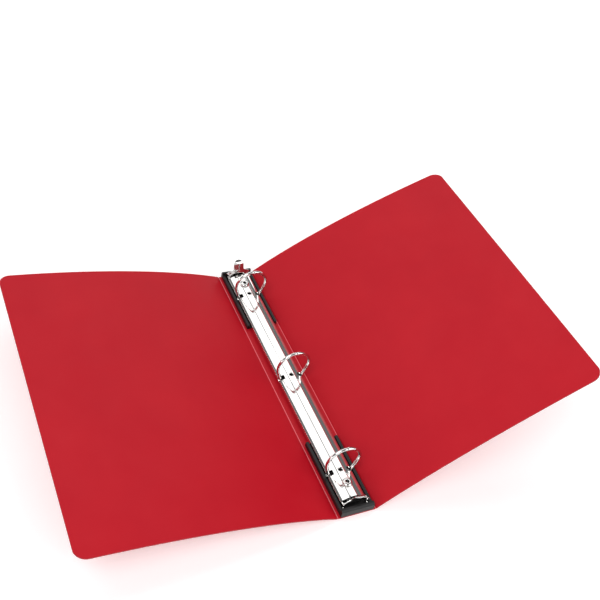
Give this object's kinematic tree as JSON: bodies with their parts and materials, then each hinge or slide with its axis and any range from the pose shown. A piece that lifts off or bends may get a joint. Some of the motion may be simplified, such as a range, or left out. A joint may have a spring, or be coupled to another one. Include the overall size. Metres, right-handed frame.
{
  "type": "ring binder",
  "caption": "Flexible hanging ring binder lying open: red plastic covers on living hinges, chrome ring mechanism with thumb levers, black hanger hooks that slide out of the spine ends.",
  "frame": {"origin": "the centre of the spine's outer face, midway between the two ends of the spine", "axes": "+X across the spine towards the back cover, +Y along the spine away from the labelled end, +Z out of the spine on the ring side"},
  "size_m": [0.4358, 0.292, 0.1107],
  "materials": {
    "red_sheet": "satin crimson polypropylene, smooth inside and grained outside",
    "clear_film": "clear flexible film",
    "label_paper": "cream paper insert",
    "chrome_steel": "bright nickel-chrome plate",
    "spring_steel": "plain rolled steel",
    "black_plastic": "satin black moulded plastic",
    "rivet_steel": "plated rivet, dark on the outer cap"
  },
  "bodies": {
    "spine": {"spine_panel": "red_sheet", "label_pocket": "clear_film", "spine_label": "label_paper", "ring_plate": "chrome_steel", "rivet_near": "rivet_steel", "rivet_far": "rivet_steel", "spacer_near": "spring_steel", "spacer_far": "spring_steel"},
    "front_cover": {"front_cover": "red_sheet"},
    "back_cover": {"back_cover": "red_sheet"},
    "left_rings": {"blade_left": "spring_steel", "ring_1_left": "chrome_steel", "ring_2_left": "chrome_steel", "ring_3_left": "chrome_steel"},
    "right_rings": {"blade_right": "spring_steel", "ring_1_right": "chrome_steel", "ring_2_right": "chrome_steel", "ring_3_right": "chrome_steel"},
    "booster_near": {"booster_near": "chrome_steel"},
    "booster_far": {"booster_far": "chrome_steel"},
    "hook_near": {"hook_near": "black_plastic"},
    "hook_far": {"hook_far": "black_plastic"}
  },
  "joints": [
    {"name": "front_cover_hinge", "type": "hinge", "parent": "spine", "child": "front_cover", "pos_m": [-0.0174, 0, 0.0006], "axis": [0, 1, 0], "range_deg": [-11.5, 78.5]},
    {"name": "back_cover_hinge", "type": "hinge", "parent": "spine", "child": "back_cover", "pos_m": [0.0174, 0, 0.0006], "axis": [0, -1, 0], "range_deg": [-28.2, 60]},
    {"name": "ring_release_left", "type": "hinge", "parent": "spine", "child": "left_rings", "pos_m": [-0.0098, 0, 0.0056], "axis": [0, 1, 0], "range_deg": [-14, 0]},
    {"name": "ring_release_right", "type": "hinge", "parent": "spine", "child": "right_rings", "pos_m": [0.0098, 0, 0.0056], "axis": [0, -1, 0], "range_deg": [-14, 0]},
    {"name": "booster_near_pivot", "type": "hinge", "parent": "spine", "child": "booster_near", "pos_m": [0, -0.1375, 0.0064], "axis": [-1, 0, 0], "range_deg": [-19, 0]},
    {"name": "booster_far_pivot", "type": "hinge", "parent": "spine", "child": "booster_far", "pos_m": [0, 0.1375, 0.0064], "axis": [1, 0, 0], "range_deg": [-19, 0]},
    {"name": "hook_near_slide", "type": "slide", "parent": "spine", "child": "hook_near", "axis": [0, -1, 0], "range_m": [0, 0.013]},
    {"name": "hook_far_slide", "type": "slide", "parent": "spine", "child": "hook_far", "axis": [0, 1, 0], "range_m": [0, 0.013]}
  ],
  "couplings": [
    {"joint": "ring_release_right", "follows": "ring_release_left", "ratio": 1},
    {"joint": "booster_near_pivot", "follows": "ring_release_left", "ratio": 1.35},
    {"joint": "booster_far_pivot", "follows": "ring_release_left", "ratio": 1.35}
  ]
}
